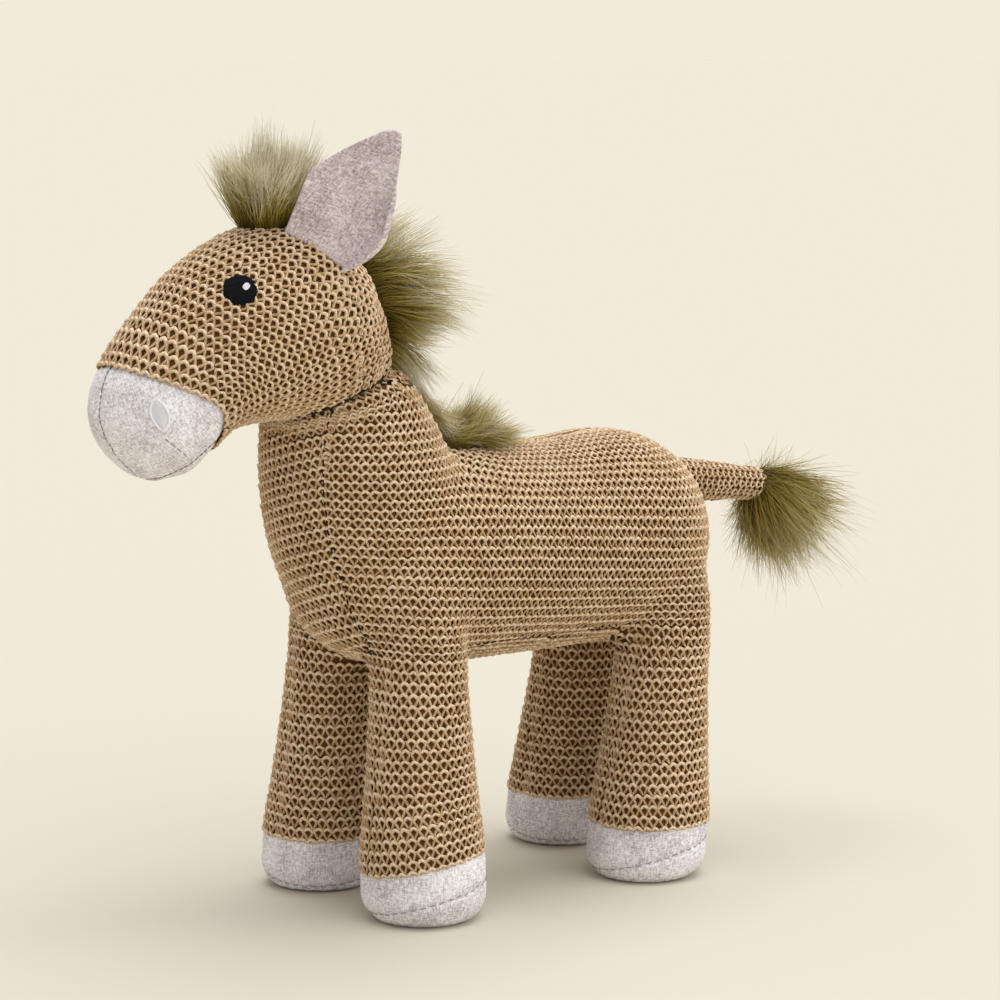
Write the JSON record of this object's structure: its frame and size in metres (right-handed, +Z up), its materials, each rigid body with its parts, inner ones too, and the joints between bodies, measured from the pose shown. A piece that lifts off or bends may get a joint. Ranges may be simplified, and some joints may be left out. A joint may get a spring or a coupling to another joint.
{
  "type": "stuffed toy donkey",
  "caption": "Standing stuffed donkey in garter-stitch knit with linen muzzle, ears and hooves, fur mane and tail tassel; head, ears, legs and tail bend.",
  "frame": {"origin": "on the floor under the middle of the toy's box", "axes": "+X forward towards the muzzle, +Y to the toy's left, +Z up"},
  "size_m": [0.3586, 0.1116, 0.2889],
  "materials": {
    "knit": "garter-stitch knit, matte",
    "linen": "plain-weave linen, matte",
    "fur": "long-pile fur with pale tips",
    "filling": "loose fibre filling",
    "black_thread": "satin-stitched thread",
    "white_thread": "satin-stitched thread",
    "seam_thread": "sewing thread"
  },
  "bodies": {
    "body": {"body_filling": "filling", "body_side_left": "knit", "body_side_right": "knit", "chest_gusset": "knit", "belly_gusset": "knit", "mane_lower": "fur"},
    "neck_seam": {"neck_seam_cord": "seam_thread"},
    "head": {"head_filling": "filling", "head_face_cover": "knit", "head_back_gusset": "knit", "muzzle_left": "linen", "muzzle_right": "linen", "muzzle_chin": "linen", "eye_left": "black_thread", "eye_right": "black_thread", "eye_glint_left": "white_thread", "eye_glint_right": "white_thread", "nostril_left": "white_thread", "nostril_right": "white_thread", "forelock": "fur", "mane_upper": "fur"},
    "ear_left": {"ear_left_front": "linen", "ear_left_back": "linen"},
    "ear_right": {"ear_right_front": "linen", "ear_right_back": "linen"},
    "tail": {"tail_cover": "knit", "tail_filling": "filling"},
    "tassel": {"tail_tassel": "fur"},
    "leg_front_left": {"leg_front_left_filling": "filling", "leg_front_left_outer": "knit", "leg_front_left_inner": "knit", "hoof_front_left_wall": "linen", "hoof_front_left_sole": "linen"},
    "leg_front_right": {"leg_front_right_filling": "filling", "leg_front_right_outer": "knit", "leg_front_right_inner": "knit", "hoof_front_right_wall": "linen", "hoof_front_right_sole": "linen"},
    "leg_hind_left": {"leg_hind_left_filling": "filling", "leg_hind_left_outer": "knit", "leg_hind_left_inner": "knit", "hoof_hind_left_wall": "linen", "hoof_hind_left_sole": "linen"},
    "leg_hind_right": {"leg_hind_right_filling": "filling", "leg_hind_right_outer": "knit", "leg_hind_right_inner": "knit", "hoof_hind_right_wall": "linen", "hoof_hind_right_sole": "linen"}
  },
  "joints": [
    {"name": "head_nod", "type": "hinge", "parent": "body", "child": "neck_seam", "pos_m": [0.0703, 0, 0.16], "axis": [0, 1, 0], "range_deg": [-6, 14], "stiffness_Nm_per_rad": 0.8},
    {"name": "head_turn", "type": "hinge", "parent": "neck_seam", "child": "head", "pos_m": [0.0703, 0, 0.16], "axis": [0.2756, 0, 0.9613], "range_deg": [-20, 20], "stiffness_Nm_per_rad": 0.5},
    {"name": "ear_left_flop", "type": "hinge", "parent": "head", "child": "ear_left", "pos_m": [0.09935, 0.02134, 0.24798], "axis": [-0.7672, 0.5128, -0.3852], "range_deg": [-20, 35], "stiffness_Nm_per_rad": 0.03},
    {"name": "ear_right_flop", "type": "hinge", "parent": "head", "child": "ear_right", "pos_m": [0.09934, -0.02134, 0.24798], "axis": [0.7673, 0.5118, 0.3865], "range_deg": [-20, 35], "stiffness_Nm_per_rad": 0.03},
    {"name": "tail_lift", "type": "hinge", "parent": "body", "child": "tail", "pos_m": [-0.0797, 0, 0.147], "axis": [0, 1, 0], "range_deg": [-12, 35], "stiffness_Nm_per_rad": 0.12},
    {"name": "tassel_wag", "type": "hinge", "parent": "tail", "child": "tassel", "pos_m": [-0.12734, 0, 0.14115], "axis": [0, 0, 1], "range_deg": [-25, 25], "stiffness_Nm_per_rad": 0.03},
    {"name": "leg_front_left_swing", "type": "hinge", "parent": "body", "child": "leg_front_left", "pos_m": [0.0608, 0.026, 0.096], "axis": [0, 1, 0], "range_deg": [-15, 15], "stiffness_Nm_per_rad": 0.8},
    {"name": "leg_front_right_swing", "type": "hinge", "parent": "body", "child": "leg_front_right", "pos_m": [0.0608, -0.026, 0.096], "axis": [0, 1, 0], "range_deg": [-15, 15], "stiffness_Nm_per_rad": 0.8},
    {"name": "leg_hind_left_swing", "type": "hinge", "parent": "body", "child": "leg_hind_left", "pos_m": [-0.0592, 0.0245, 0.096], "axis": [0, 1, 0], "range_deg": [-15, 15], "stiffness_Nm_per_rad": 0.8},
    {"name": "leg_hind_right_swing", "type": "hinge", "parent": "body", "child": "leg_hind_right", "pos_m": [-0.0592, -0.0245, 0.096], "axis": [0, 1, 0], "range_deg": [-15, 15], "stiffness_Nm_per_rad": 0.8}
  ]
}
